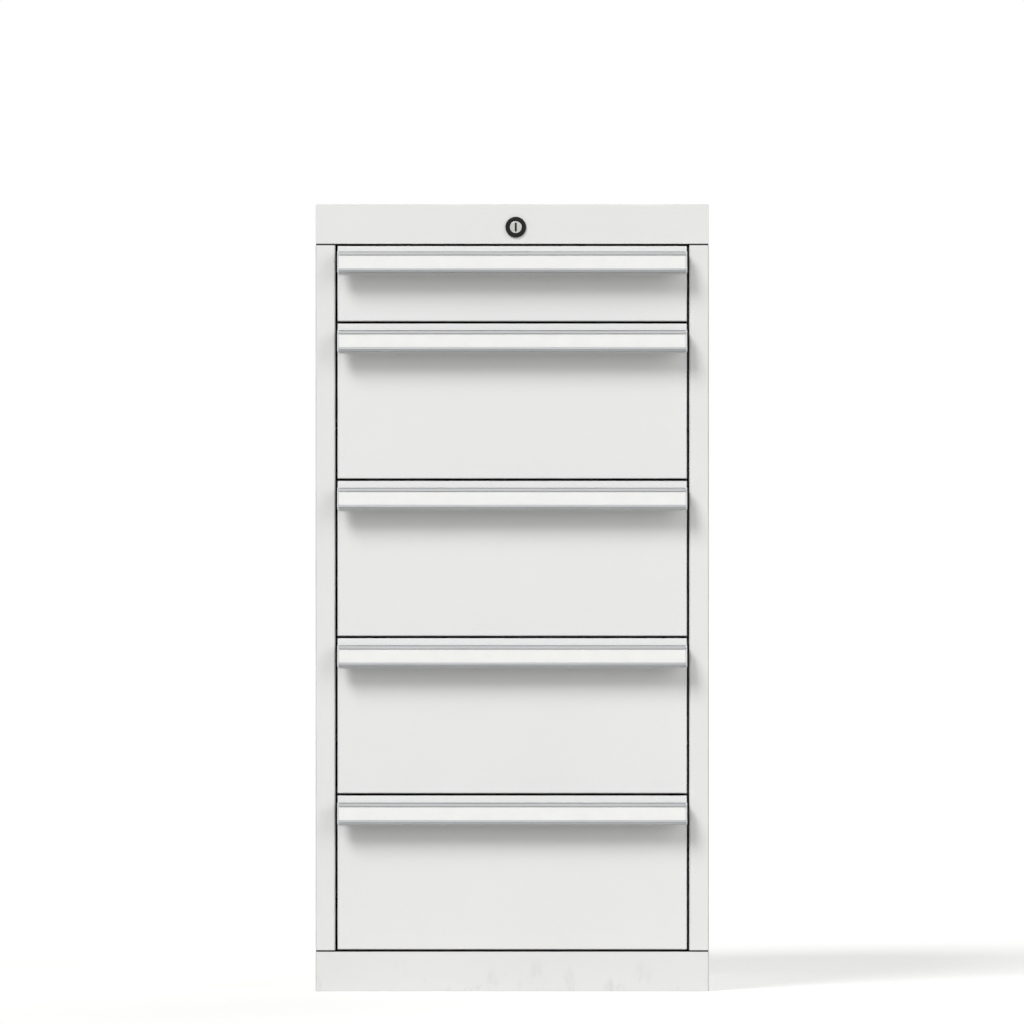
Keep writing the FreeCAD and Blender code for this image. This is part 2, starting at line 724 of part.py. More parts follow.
def lock_carrier():
    """The channel that the slider runs in, hung from the top cover's underside."""
    half = CARRIER_SHEET / 2
    lip = LIP_FRONT + half
    web = SLIDER_BACK + SLIDER_GAP + half
    low = SLIDER_LOW - SLIDER_GAP - half
    high = SLIDER_LOW + SLIDER_HEIGHT + SLIDER_GAP + half
    roof = HEIGHT - SHEET - half
    shank, right = (slider_outline()[corner][0] for corner in (2, 3))
    start = shank + STROKE + SLIDER_MARGIN
    end = right + STROKE + SLIDER_MARGIN
    hanger = [
        (lip, low + half + CARRIER_LIP),
        (lip, low),
        (web, low),
        (web, roof),
        (web + CARRIER_FLANGE, roof),
    ]
    cover = [(lip, high - half - CARRIER_LIP), (lip, high), (web, high)]
    return joined(
        folded(hanger, CARRIER_SHEET, 0, "YZ", start, end),
        folded(cover, CARRIER_SHEET, 0, "YZ", start, end),
    )


def lock_bar(bottoms):
    """The bar behind the left stile: a flat strip with a nose for each drawer welded to its
    edge, and at its top a flag with the pin that the slider lifts."""
    pin_x, pin_z = bar_pin_spot()
    low = PLINTH_HEIGHT + BAR_HEAD_RISE
    flag = HEAD_Z + BAR_HEAD_RISE
    strip = box((-BAR_OUTER, -BAR_INNER), (BAR_FRONT, BAR_BACK), (low, flag))
    top = box(
        (-BAR_OUTER, pin_x + BAR_FLAG / 2),
        (BAR_FRONT, BAR_BACK),
        (flag, flag + BAR_FLAG_HEIGHT),
    )
    tip = TRAY_HALF + NOSE_TIP_GAP
    noses = [
        prism(
            [
                (-BAR_INNER, z),
                (-tip, z + NOSE_HEIGHT / 3),
                (-tip, z + NOSE_HEIGHT),
                (-BAR_INNER, z + NOSE_HEIGHT),
            ],
            "XZ",
            BAR_FRONT,
            BAR_BACK,
        )
        for z in (bottom + NOSE_LOW for bottom in bottoms)
    ]
    pin = rod((pin_x, pin_z), BAR_PIN_RADIUS, "XZ", SLIDER_FRONT, BAR_FRONT)
    return Part.makeCompound([strip, top, *noses, pin])


def lock_bar_guides(bottoms):
    """Two loops on the left front upright that the bar slides in, clear of its noses."""
    guides = []
    for bottom in (bottoms[0], bottoms[-1]):
        low = bottom + (RAIL_RISE - GUIDE_HEIGHT) / 2
        outer = box(
            (-BAR_OUTER - GUIDE_WALL, -BAR_INNER + GUIDE_WALL),
            (BAR_FRONT - GUIDE_PLAY - GUIDE_WALL, GUIDE_BACK),
            (low, low + GUIDE_HEIGHT),
        )
        hole = box(
            (-BAR_OUTER - GUIDE_PLAY, -BAR_INNER + GUIDE_PLAY),
            (BAR_FRONT - GUIDE_PLAY, BAR_BACK + GUIDE_PLAY),
            (low, low + GUIDE_HEIGHT),
        )
        guides.append(outer.cut(hole))
    return Part.makeCompound(guides)


def modules():
    """The bottom and top height of each drawer's module, from the top drawer down."""
    spans = []
    top = HEAD_Z
    for units in FRONT_UNITS:
        spans.append((top - units * PITCH, top))
        top -= units * PITCH
    return spans


def all_parts():
    spans = modules()
    bottoms = [bottom for bottom, top in spans]
    left = side_panel()
    parts = {
        "left_side_panel": left,
        "right_side_panel": mirrored(left),
        "back_panel": back_panel(),
        "top_cover": top_cover(),
        "base_plinth": base_plinth(),
        "bottom_deck": bottom_deck(),
        "slotted_uprights": slotted_uprights(),
        "lock_housing": lock_housing(),
        "lock_nut": lock_nut(),
        "lock_plug": lock_plug(),
        "lock_cam": lock_cam(),
        "lock_slider": lock_slider(),
        "lock_carrier": lock_carrier(),
        "lock_bar": lock_bar(bottoms),
        "lock_bar_guides": lock_bar_guides(bottoms),
    }
    for number, (bottom, top) in enumerate(spans, start=1):
        parts[f"drawer_{number}_tray"] = tray(bottom, top)
        parts[f"drawer_{number}_front"] = drawer_front(bottom, top)
        parts[f"drawer_{number}_handle"] = handle(top)
        parts[f"drawer_{number}_label"] = label(top)
        parts[f"drawer_{number}_rails"] = drawer_rails(bottom)
        parts[f"slide_{number}_cabinet_rails"] = cabinet_rails(bottom)
        parts[f"slide_{number}_middle_rails"] = middle_rails(bottom)
        parts[f"slide_{number}_outer_cages"] = outer_cages(bottom)
        parts[f"slide_{number}_inner_cages"] = inner_cages(bottom)
    return parts


os.makedirs("parts", exist_ok=True)
for name, shape in all_parts().items():
    shape.exportStep(f"parts/{name}.step")
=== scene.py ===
import json
import math

import bmesh
import bpy
from mathutils import Matrix, Vector


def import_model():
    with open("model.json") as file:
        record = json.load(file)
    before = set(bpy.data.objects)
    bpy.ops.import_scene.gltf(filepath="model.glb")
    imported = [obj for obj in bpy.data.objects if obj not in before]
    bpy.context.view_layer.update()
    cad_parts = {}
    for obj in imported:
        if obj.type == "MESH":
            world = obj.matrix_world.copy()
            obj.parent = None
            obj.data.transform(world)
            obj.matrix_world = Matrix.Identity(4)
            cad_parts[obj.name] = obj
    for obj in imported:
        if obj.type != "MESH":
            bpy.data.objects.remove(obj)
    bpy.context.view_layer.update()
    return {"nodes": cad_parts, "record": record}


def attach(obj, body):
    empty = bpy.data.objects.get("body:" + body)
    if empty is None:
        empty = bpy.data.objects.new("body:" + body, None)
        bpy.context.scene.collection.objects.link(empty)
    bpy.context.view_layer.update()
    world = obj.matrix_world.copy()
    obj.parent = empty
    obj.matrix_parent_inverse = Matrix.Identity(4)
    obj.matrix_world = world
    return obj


# The looks of the modular drawer cabinet: white powder-coated sheet steel with satin aluminium
# handles, zinc-plated slides and a black-ringed lock, in a pale studio. Metres throughout, in
# the frame of the solids: X to the right, Y to the back, Z up.

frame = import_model()

# Places and sizes of the cabinet that the added pieces are set by
HALF_WIDTH = 0.250
BACK = 0.300
FRONT = -0.300
# Bottom and top height of each drawer's module
DRAWERS = {
    1: (0.850, 0.950),
    2: (0.650, 0.850),
    3: (0.450, 0.650),
    4: (0.250, 0.450),
    5: (0.050, 0.250),
}
RAIL_PLANE = 0.226  # the slides' mounting plane, out from the middle
RAIL_RISE = 0.0375  # slide centre above the bottom of its module
RAIL_FRONT = -0.279
RAIL_BACK = 0.236
RAIL_SHEET = 0.0016
TRAY_WALL = 0.209  # a tray's outside, out from the middle
TRAY_SHEET = 0.001
TRAY_FRONT_INSIDE = -0.281
UPRIGHT_FEET = (-0.2718, -0.2328, 0.2085, 0.2475)  # where they are welded to the sides, in Y
LOCK = (0.0045, 0.971)  # the lock's centre, in X and Z
LOCK_FACE = -0.3025


# Materials. Each has its colour, grain and wear from noise in the piece's own coordinates; the
# darker edges are partly wear and partly painted edge shade.


def new_node(tree, kind, **values):
    """A shader node with its sockets set by name; a leading underscore sets a property."""
    made = tree.nodes.new(kind)
    for name, value in values.items():
        if name.startswith("_"):
            setattr(made, name[1:], value)
        else:
            made.inputs[name.replace("_", " ")].default_value = value
    return made


def join(tree, *links):
    for source, target in links:
        tree.links.new(source, target)


def noise(tree, scale, stretch=(1, 1, 1), detail=2.0, roughness=0.5):
    """Noise of the given scale per metre, stretched along an axis where `stretch` is small."""
    place = new_node(tree, "ShaderNodeTexCoord")
    mapping = new_node(tree, "ShaderNodeMapping", Scale=stretch)
    made = new_node(tree, "ShaderNodeTexNoise", Scale=scale, Detail=detail, Roughness=roughness)
    join(
        tree,
        (place.outputs["Object"], mapping.inputs["Vector"]),
        (mapping.outputs["Vector"], made.inputs["Vector"]),
    )
    return made.outputs["Fac"]


def ranged(tree, source, low, high, to_low, to_high):
    made = new_node(
        tree, "ShaderNodeMapRange", From_Min=low, From_Max=high, To_Min=to_low, To_Max=to_high
    )
    join(tree, (source, made.inputs["Value"]))
    return made.outputs["Result"]


def mixed(tree, amount, first, second):
    """Two colours, or colour outputs, mixed by `amount`."""
    made = new_node(tree, "ShaderNodeMix", _data_type="RGBA")
    join(tree, (amount, made.inputs["Factor"]))
    for socket, value in ((made.inputs[6], first), (made.inputs[7], second)):
        if isinstance(value, tuple):
            socket.default_value = (*value, 1)
        else:
            join(tree, (value, socket))
    return made.outputs[2]


def product(tree, one, other):
    made = new_node(tree, "ShaderNodeMath", _operation="MULTIPLY")
    join(tree, (one, made.inputs[0]), (other, made.inputs[1]))
    return made.outputs[0]


def edge_mask(tree, low, high):
    """0 on faces square to the axes, rising to 1 where the surface turns over an edge."""
    place = new_node(tree, "ShaderNodeTexCoord")
    size = new_node(tree, "ShaderNodeVectorMath", _operation="ABSOLUTE")
    split = new_node(tree, "ShaderNodeSeparateXYZ")
    first = new_node(tree, "ShaderNodeMath", _operation="MAXIMUM")
    second = new_node(tree, "ShaderNodeMath", _operation="MAXIMUM")
    join(
        tree,
        (place.outputs["Normal"], size.inputs[0]),
        (size.outputs["Vector"], split.inputs["Vector"]),
        (split.outputs["X"], first.inputs[0]),
        (split.outputs["Y"], first.inputs[1]),
        (first.outputs[0], second.inputs[0]),
        (split.outputs["Z"], second.inputs[1]),
    )
    return ranged(tree, second.outputs[0], 1 - low, 1 - high, 0.0, 1.0)


def place_mask(tree, axis, start, end):
    """0 before `start` and 1 after `end` along an axis of the piece, in metres."""
    place = new_node(tree, "ShaderNodeTexCoord")
    split = new_node(tree, "ShaderNodeSeparateXYZ")
    join(tree, (place.outputs["Object"], split.inputs["Vector"]))
    return ranged(tree, split.outputs[axis], start, end, 0.0, 1.0)


EDGE_WEAR_AND_SHADE_SCALE = 26.0  # per metre, of the uneven darkening along edges, partly wear and partly painted edge shade
SCUFF_SCALE = 34.0  # per metre, of the marks near the floor
FLOOR_LINE = 0.004  # the height by which the marks reach their full strength
# Near black painted into the deep part of a slot, as painted shade.
SLOT_SHADE = (0.012, 0.012, 0.012)
SLOT_EDGE = 0.0004  # the depth over which the painted shade in a slot sets in


def finish(
    name,
    colour,
    roughness,
    metallic=0.0,
    grain=600.0,
    stretch=(1, 1, 1),
    relief=0.00002,
    tone=0.03,
    patch=3.0,
    sheen_spread=0.06,
    edge=None,
    scuffs=None,
    specular=0.5,
    recess=None,
    fleck=0.03,
):
    """A material: `grain` per metre gives its fine relief, its gloss and tone changing by `fleck`
    with it, and `patch` its slow change of tone. `edge` is the darker colour painted along
    edges, partly rubbed paint and partly painted edge shade, and `scuffs` the colour, height and
    strength of marks near the floor. `recess` is the depth in Y behind which the surface is in a
    deep slot and painted near black, as painted shade."""
    made = bpy.data.materials.new(name)
    made.use_nodes = True
    tree = made.node_tree
    shader = tree.nodes["Principled BSDF"]
    shader.inputs["Metallic"].default_value = metallic
    shader.inputs["Specular IOR Level"].default_value = specular
    darker = tuple(c * (1 - tone) for c in colour)
    fine = noise(tree, grain, stretch)
    slow = noise(tree, patch, detail=4.0)
    paint = mixed(tree, ranged(tree, slow, 0.35, 0.65, 0.0, 1.0), colour, darker)
    paint = mixed(tree, ranged(tree, fine, 0.30, 0.70, fleck, 0.0), paint, (0.0, 0.0, 0.0))
    if scuffs:
        shade, height, strength = scuffs
        smears = noise(tree, SCUFF_SCALE, (1, 1, 0.5), 6.0, 0.62)
        marks = ranged(tree, smears, 0.56, 0.72, 0.0, strength)
        low_down = place_mask(tree, "Z", height, FLOOR_LINE)
        paint = mixed(tree, product(tree, marks, low_down), paint, shade)
    # Edges turn darker towards `edge`: partly wear, partly painted edge shade that draws the
    # outlines.
    if edge:
        worn_and_shaded = product(
            tree,
            edge_mask(tree, 0.03, 0.16),
            ranged(tree, noise(tree, EDGE_WEAR_AND_SHADE_SCALE, detail=4.0), 0.35, 0.62, 0.55, 1.0),
        )
        paint = mixed(tree, worn_and_shaded, paint, edge)
    # Painted shade: behind `recess` the surface is painted near black.
    if recess:
        deep = place_mask(tree, "Y", recess, recess + SLOT_EDGE)
        paint = mixed(tree, deep, paint, SLOT_SHADE)
    gloss = ranged(tree, fine, 0.3, 0.7, roughness - sheen_spread, roughness + sheen_spread)
    bump = new_node(tree, "ShaderNodeBump", Strength=1.0, Distance=relief)
    join(
        tree,
        (paint, shader.inputs["Base Color"]),
        (gloss, shader.inputs["Roughness"]),
        (fine, bump.inputs["Height"]),
        (bump.outputs["Normal"], shader.inputs["Normal"]),
    )
    return made


# Darker colours along edges: partly rubbed paint, partly painted edge shade.
EDGE_WEAR_AND_SHADE = (0.60, 0.60, 0.59)
TRAY_EDGE_WEAR_AND_SHADE = (0.56, 0.57, 0.58)
SCUFFS = ((0.52, 0.51, 0.49), 0.045, 0.5)

BODY = finish(
    "body_powder_coat", (0.87, 0.87, 0.86), 0.54, grain=750.0, relief=0.00010, tone=0.02,
    edge=EDGE_WEAR_AND_SHADE, specular=0.3,
)
PLINTH = finish(
    "plinth_powder_coat", (0.86, 0.86, 0.85), 0.56, grain=750.0, relief=0.00010, tone=0.03,
    edge=EDGE_WEAR_AND_SHADE, scuffs=SCUFFS, specular=0.3,
)
FRONTS = finish(
    "front_powder_coat", (0.88, 0.88, 0.875), 0.50, grain=750.0, relief=0.00008, tone=0.015,
    patch=5.0, edge=EDGE_WEAR_AND_SHADE, specular=0.3,
)
TRAYS = finish(
    "tray_powder_coat", (0.74, 0.755, 0.77), 0.54, grain=750.0, relief=0.00010, tone=0.015,
    edge=TRAY_EDGE_WEAR_AND_SHADE, specular=0.3,
)
ZINC = finish(
    "zinc_plate", (0.56, 0.58, 0.61), 0.33, metallic=1.0, grain=220.0, relief=0.00001, tone=0.10,
    patch=24.0,
)
RAIL_ZINC = finish(
    "rolled_zinc_plate", (0.55, 0.57, 0.60), 0.30, metallic=1.0, grain=900.0, stretch=(1, 0.012, 1),
    relief=0.000012, tone=0.08, patch=14.0,
)
BLACK_ZINC = finish(
    "black_zinc_plate", (0.045, 0.046, 0.050), 0.40, metallic=1.0, grain=220.0, relief=0.00001,
    tone=0.15, patch=24.0,
)
ALUMINIUM = finish(
    "satin_anodised_aluminium", (0.43, 0.436, 0.446), 0.36, metallic=1.0, grain=1600.0,
    stretch=(0.006, 1, 1), relief=0.000012, tone=0.03, patch=6.0, sheen_spread=0.05,
)
CARD = finish(
    "white_card", (0.89, 0.89, 0.87), 0.8, grain=1500.0, stretch=(0.4, 1, 1), relief=0.00003,
    tone=0.03, patch=40.0,
)
BLACK = finish(
    "black_satin_coat", (0.009, 0.009, 0.010), 0.42, grain=1400.0, relief=0.00001, tone=0.2,
    patch=60.0, specular=0.22,
)
# The lock plug's nickel, painted near black deep in the key slot as painted shade.
NICKEL = finish(
    "satin_nickel", (0.60, 0.59, 0.565), 0.26, metallic=1.0, grain=1500.0, relief=0.000005,
    tone=0.06, patch=80.0, sheen_spread=0.05, recess=LOCK_FACE + 0.0005,
)
ACETAL = finish(
    "black_acetal", (0.03, 0.03, 0.033), 0.48, grain=900.0, relief=0.00002, tone=0.15, patch=50.0
)
NYLON = finish(
    "natural_nylon", (0.80, 0.795, 0.76), 0.5, grain=700.0, relief=0.00003, tone=0.04, patch=30.0
)
CAP_PLASTIC = finish(
    "pale_grey_plastic", (0.70, 0.71, 0.72), 0.45, grain=1100.0, relief=0.00002, tone=0.03,
    patch=40.0,
)
RUBBER = finish(
    "black_rubber", (0.03, 0.03, 0.03), 0.75, grain=800.0, relief=0.00004, tone=0.2, patch=60.0
)
BALL_STEEL = finish(
    "ball_steel", (0.78, 0.78, 0.79), 0.12, metallic=1.0, grain=1200.0, relief=0.000002,
    tone=0.05, patch=200.0, sheen_spread=0.04,
)

BY_SLOT = {
    "body_paint": BODY,
    "front_paint": FRONTS,
    "tray_paint": TRAYS,
    "zinc_plate": ZINC,
    "handle_aluminium": ALUMINIUM,
    "label_card": CARD,
    "lock_black": BLACK,
    "lock_nickel": NICKEL,
    "cage_plastic": ACETAL,
    "guide_plastic": NYLON,
}


# The solids keep their shapes, and get soft edges and their materials.

WELD_REACH = 0.000002
PLAIN_EDGE = 0.0005
# Radii of the edges of the nodes whose names hold these words, the first that fits. The lock
# bar's strip and flag touch along an edge, where rounding would leave holes.
EDGE_WIDTH = {
    "lock_bar_guides": 0.00025,
    "lock_bar": 0,
    "label": 0.0001,
    "cages": 0.0002,
    "lock": 0.00025,
    "rails": 0.0003,
    "handle": 0.0004,
}


def soften(shown, width):
    """Joins a solid's faces and, where `width` isn't 0, rounds its edges and their shading."""
    weld = shown.modifiers.new("weld", "WELD")
    weld.merge_threshold = WELD_REACH
    flat = shown.modifiers.new("flat", "DECIMATE")
    flat.decimate_type = "DISSOLVE"
    flat.angle_limit = math.radians(0.5)
    if not width:
        return
    bevel = shown.modifiers.new("bevel", "BEVEL")
    bevel.width = width
    bevel.segments = 2
    bevel.limit_method = "ANGLE"
    bevel.angle_limit = math.radians(40)
    bevel.harden_normals = False
    normals = shown.modifiers.new("normals", "WEIGHTED_NORMAL")
    normals.keep_sharp = False


def dress_solids():
    slots = {part["node"]: part["material_slot"] for part in frame["record"]["subparts"]}
    for name, shown in frame["nodes"].items():
        look = BY_SLOT[slots[name]]
        if name == "base_plinth":
            look = PLINTH
        if name.endswith("_rails"):
            look = RAIL_ZINC
        if name == "lock_bar":
            look = BLACK_ZINC
        shown.data.materials.clear()
        shown.data.materials.append(look)
        width = next((size for key, size in EDGE_WIDTH.items() if key in name), PLAIN_EDGE)
        soften(shown, width)


# Small pieces


def add_piece(name, mesh, look, body, edge=0.0):
    """A piece from a bmesh: its material and the body it rides on. Faces marked as dark, such as
    a screw's socket, get the black material as painted shade."""
    data = bpy.data.meshes.new(name)
    bmesh.ops.recalc_face_normals(mesh, faces=mesh.faces)
    marked = any(face.material_index for face in mesh.faces)
    mesh.to_mesh(data)
    mesh.free()
    data.materials.append(look)
    # Painted shade: faces marked as dark, such as a screw's socket, get the black material.
    if marked:
        data.materials.append(BLACK)
    piece = bpy.data.objects.new(name, data)
    bpy.context.scene.collection.objects.link(piece)
    if edge:
        bevel = piece.modifiers.new("bevel", "BEVEL")
        bevel.width = edge
        bevel.segments = 2
        bevel.limit_method = "ANGLE"
        normals = piece.modifiers.new("normals", "WEIGHTED_NORMAL")
        normals.keep_sharp = False
    for face in data.polygons:
        face.use_smooth = True
    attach(piece, body)
    return piece


SPOT_ON = {
    "X": lambda a, b, along: (along, a, b),
    "Y": lambda a, b, along: (a, along, b),
    "Z": lambda a, b, along: (a, b, along),
}


def add_prism(mesh, outline, start, end, axis="X"):
    """A plate: an outline swept along an axis from `start` to `end`. The outline's points have
    the other two coordinates in their order, such as (y, z) along X."""
    spot = SPOT_ON[axis]
    rings = [[mesh.verts.new(spot(a, b, along)) for a, b in outline] for along in (start, end)]
    mesh.faces.new(rings[0])
    mesh.faces.new(list(reversed(rings[1])))
    count = len(outline)
    for index in range(count):
        after = (index + 1) % count
        mesh.faces.new((rings[0][index], rings[0][after], rings[1][after], rings[1][index]))


def hexagon(angle):
    """How far out a hexagon of inner radius 1 reaches at `angle`."""
    return 1 / math.cos((angle + math.pi / 6) % (math.pi / 3) - math.pi / 6)


def add_turned(mesh, profile, spot, direction, segments=20, socket=None):
    """A turned piece: `profile` holds (distance along `direction`, radius) from its root. From
    the ring numbered `socket` on it is a hexagonal socket, painted black as painted shade."""
    turn = Vector(direction).to_track_quat("Z", "Y").to_matrix().to_4x4()
    place = Matrix.Translation(spot) @ turn
    angles = [2 * math.pi * k / segments for k in range(segments)]
    rings = []
    for number, (along, radius) in enumerate(profile):
        if radius == 0:
            rings.append([mesh.verts.new(place @ Vector((0, 0, along)))])
            continue
        ring = []
        for a in angles:
            reach = radius * hexagon(a) if socket and number >= socket else radius
            spot_on_ring = Vector((reach * math.cos(a), reach * math.sin(a), along))
            ring.append(mesh.verts.new(place @ spot_on_ring))
        rings.append(ring)
    mesh.faces.new(rings[0])
    for number, (low, high) in enumerate(zip(rings, rings[1:])):
        for k in range(segments):
            after = (k + 1) % segments
            tip = (high[0],) if len(high) == 1 else (high[after], high[k])
            face = mesh.faces.new((low[k], low[after], *tip))
            # Painted shade: the socket's faces are marked for the black material.
            if socket and number >= socket:
                face.material_index = 1


def dome(radius, height):
    """Profile of a low round head."""
    return [
        (-0.0002, radius * 0.96),
        (height * 0.12, radius),
        (height * 0.40, radius * 0.94),
        (height * 0.72, radius * 0.74),
        (height * 0.92, radius * 0.42),
        (height, 0),
    ]


def add_screw(mesh, spot, direction, radius=0.0048, height=0.0024):
    """A low round screw head with a hexagonal socket, painted black inside as painted shade."""
    profile = [
        (-0.0002, radius * 0.96),
        (height * 0.15, radius),
        (height * 0.60, radius * 0.93),
        (height * 0.90, radius * 0.76),
        (height, radius * 0.62),
        (height, radius * 0.44),
        (height * 0.20, radius * 0.42),
        (height * 0.20, 0),
    ]
    add_turned(mesh, profile, spot, direction, 36, socket=5)


def rounded_outline(corners, steps=4):
    """A closed outline drawn smoothly through its corners."""
    spots = []
    count = len(corners)
    for index in range(count):
        a, b, c, d = (Vector(corners[(index + shift) % count]) for shift in (-1, 0, 1, 2))
        for step in range(steps):
            t = step / steps
            bend = (c - a) * t + (a * 2 - b * 5 + c * 4 - d) * t**2 + (b * 3 - a - c * 3 + d) * t**3
            spots.append(tuple(b + bend / 2))
    return spots


def spaced(low, high, count):
    return [low + (high - low) * k / (count - 1) for k in range(count)]


HANDLE_DROP = 0.0102  # its top, under the top of the drawer's module
HANDLE_HEIGHT = 0.0275
HANDLE_END = 0.220  # out from the middle
CAP_WALL = 0.002


def handle_caps(number, top):
    """Moulded end caps that close the handle's section at both ends."""
    high = top - HANDLE_DROP
    low = high - HANDLE_HEIGHT
    outline = [
        (FRONT, high),
        (FRONT - 0.0206, high),
        (FRONT - 0.0222, high - 0.0009),
        (FRONT - 0.0228, high - 0.0024),
        (FRONT - 0.0284, low + 0.0026),
        (FRONT - 0.0280, low + 0.0008),
        (FRONT - 0.0262, low),
        (FRONT - 0.0215, low),
        (FRONT - 0.0195, low + 0.0030),
        (FRONT - 0.0170, high - 0.0080),
        (FRONT - 0.0135, high - 0.0050),
        (FRONT - 0.0080, high - 0.0045),
        (FRONT - 0.0040, high - 0.0080),
        (FRONT - 0.0030, low + 0.0010),
        (FRONT, low + 0.0010),
    ]
    mesh = bmesh.new()
    for side in (-1, 1):
        add_prism(mesh, outline, side * HANDLE_END, side * (HANDLE_END + CAP_WALL))
    body = f"drawer_{number}"
    add_piece(f"{body}_handle_caps", mesh, CAP_PLASTIC, body, 0.0004)


def rail_rivets(number, bottom):
    """Rivets that hold a drawer's rails to its tray, seen in the rail and inside the tray."""
    mesh = bmesh.new()
    height = bottom + RAIL_RISE
    head = dome(0.0033, 0.0012)
    tail = dome(0.0027, 0.0006)
    for side in (-1, 1):
        for y in spaced(RAIL_FRONT + 0.093, RAIL_BACK - 0.022, 4):
            add_turned(mesh, head, (side * (TRAY_WALL + RAIL_SHEET), y, height), (side, 0, 0))
            add_turned(mesh, tail, (side * (TRAY_WALL - TRAY_SHEET), y, height), (-side, 0, 0))
    body = f"drawer_{number}"
    add_piece(f"{body}_rail_rivets", mesh, ZINC, body)


# Outline of a release lever, as (distance behind the rails' front, height over their centre)
LEVER = [
    (0.0130, 0.0030),
    (0.0175, 0.0062),
    (0.0320, 0.0058),
    (0.0440, 0.0034),
    (0.0560, 0.0044),
    (0.0650, 0.0068),
    (0.0715, 0.0046),
    (0.0738, 0.0000),
    (0.0715, -0.0046),
    (0.0650, -0.0068),
    (0.0560, -0.0046),
    (0.0440, -0.0030),
    (0.0330, -0.0080),
    (0.0175, -0.0094),
    (0.0125, -0.0060),
]
LEVER_FACES = (0.0017, 0.0055)  # its back and front, out from the tray
LEVER_PIVOT = 0.0650  # behind the rails' front


def release_levers(number, bottom):
    """Moulded levers in the front of a drawer's rails, which free the drawer from its slides."""
    mesh = bmesh.new()
    pivots = bmesh.new()
    height = bottom + RAIL_RISE
    outline = rounded_outline([(RAIL_FRONT + along, height + up) for along, up in LEVER])
    for side in (-1, 1):
        back, face = (side * (TRAY_WALL + out) for out in LEVER_FACES)
        add_prism(mesh, outline, back, face)
        spot = (face, RAIL_FRONT + LEVER_PIVOT, height)
        add_turned(pivots, dome(0.0034, 0.0012), spot, (side, 0, 0))
    body = f"drawer_{number}"
    add_piece(f"{body}_release_levers", mesh, ACETAL, body, 0.0006)
    add_piece(f"{body}_lever_pivots", pivots, ZINC, body)


MIDDLE_STOP_FACES = (0.0049, 0.0077)  # in from the slides' plane
END_STOP_FACES = (0.0005, 0.0130)


def middle_stops(number, bottom):
    """Rubber stops at the front of the middle rails."""
    mesh = bmesh.new()
    centre = bottom + RAIL_RISE
    outline = [
        (RAIL_FRONT + 0.0006, centre - 0.0105),
        (RAIL_FRONT + 0.0070, centre - 0.0090),
        (RAIL_FRONT + 0.0070, centre + 0.0090),
        (RAIL_FRONT + 0.0006, centre + 0.0105),
    ]
    for side in (-1, 1):
        outer, inner = (side * (RAIL_PLANE - inwards) for inwards in MIDDLE_STOP_FACES)
        add_prism(mesh, outline, outer, inner)
    body = f"slide_{number}_middle"
    add_piece(f"{body}_stops", mesh, RUBBER, body, 0.0006)


TALL_DRAWER = 0.15  # modules higher than this have a second row of screws


def front_screws(number, bottom, top):
    """Screws through the tray's front wall into the drawer front, seen inside the tray."""
    mesh = bmesh.new()
    rows = [bottom + 0.034]
    if top - bottom > TALL_DRAWER:
        rows.append(top - 0.050)
    for z in rows:
        for x in spaced(-0.165, 0.165, 4):
            add_screw(mesh, (x, TRAY_FRONT_INSIDE, z), (0, 1, 0), 0.0042, 0.0022)
    body = f"drawer_{number}"
    add_piece(f"{body}_front_screws", mesh, ZINC, body)


BALL_RADIUS = 0.00236
FIRST_BALL = -0.134
LAST_BALL = 0.091
BALLS_IN_ROW = 17
# How far in from the rails' plane each cage's balls lie, and how far over and under the centre
BALL_PLACES = {"outer": (0.0060, 0.0225), "inner": (0.0090, 0.0161)}


def balls(number, bottom, kind):
    """The balls that a cage carries, in rows above and below on both sides."""
    mesh = bmesh.new()
    depth, rise = BALL_PLACES[kind]
    for side in (-1, 1):
        for row in (-1, 1):
            for y in spaced(FIRST_BALL, LAST_BALL, BALLS_IN_ROW):
                spot = (side * (RAIL_PLANE - depth), y, bottom + RAIL_RISE + row * rise)
                bmesh.ops.create_icosphere(
                    mesh, subdivisions=2, radius=BALL_RADIUS, matrix=Matrix.Translation(spot)
                )
    name = f"slide_{number}_{kind}"
    add_piece(f"{name}_balls", mesh, BALL_STEEL, f"{name}_cages")


def end_stops(number, bottom):
    """Rubber buffers on the rear ends of the rails that are fixed in the cabinet."""
    mesh = bmesh.new()
    centre = bottom + RAIL_RISE
    outline = [
        (RAIL_BACK, centre - 0.024),
        (RAIL_BACK + 0.004, centre - 0.022),
        (RAIL_BACK + 0.004, centre + 0.022),
        (RAIL_BACK, centre + 0.024),
    ]
    for side in (-1, 1):
        outer, inner = (side * (RAIL_PLANE - inwards) for inwards in END_STOP_FACES)
        add_prism(mesh, outline, outer, inner)
    add_piece(f"slide_{number}_end_stops", mesh, RUBBER, "cabinet", 0.0008)


# Section of the buffers, on that of a cabinet rail, as (distance in, height over its centre)
BUFFER_SECTION = [
    (0.0000, 0.0265),
    (0.0090, 0.0265),
    (0.0090, 0.0249),
    (0.0016, 0.0249),
    (0.0016, -0.0249),
    (0.0090, -0.0249),
    (0.0090, -0.0265),
    (0.0000, -0.0265),
]
BUFFER_DEPTH = 0.0018  # in front of the rails


def front_buffers(number, bottom):
    """Rubber edging on the front ends of the rails that are fixed in the cabinet."""
    mesh = bmesh.new()
    centre = bottom + RAIL_RISE
    for side in (-1, 1):
        outline = [(side * (RAIL_PLANE - inwards), centre + up) for inwards, up in BUFFER_SECTION]
        add_prism(mesh, outline, RAIL_FRONT - BUFFER_DEPTH, RAIL_FRONT, "Y")
    add_piece(f"slide_{number}_front_buffers", mesh, RUBBER, "cabinet", 0.0003)


JOINTS = ((0.0499, 0.0521), (0.9479, 0.9501))  # their lower and upper edges
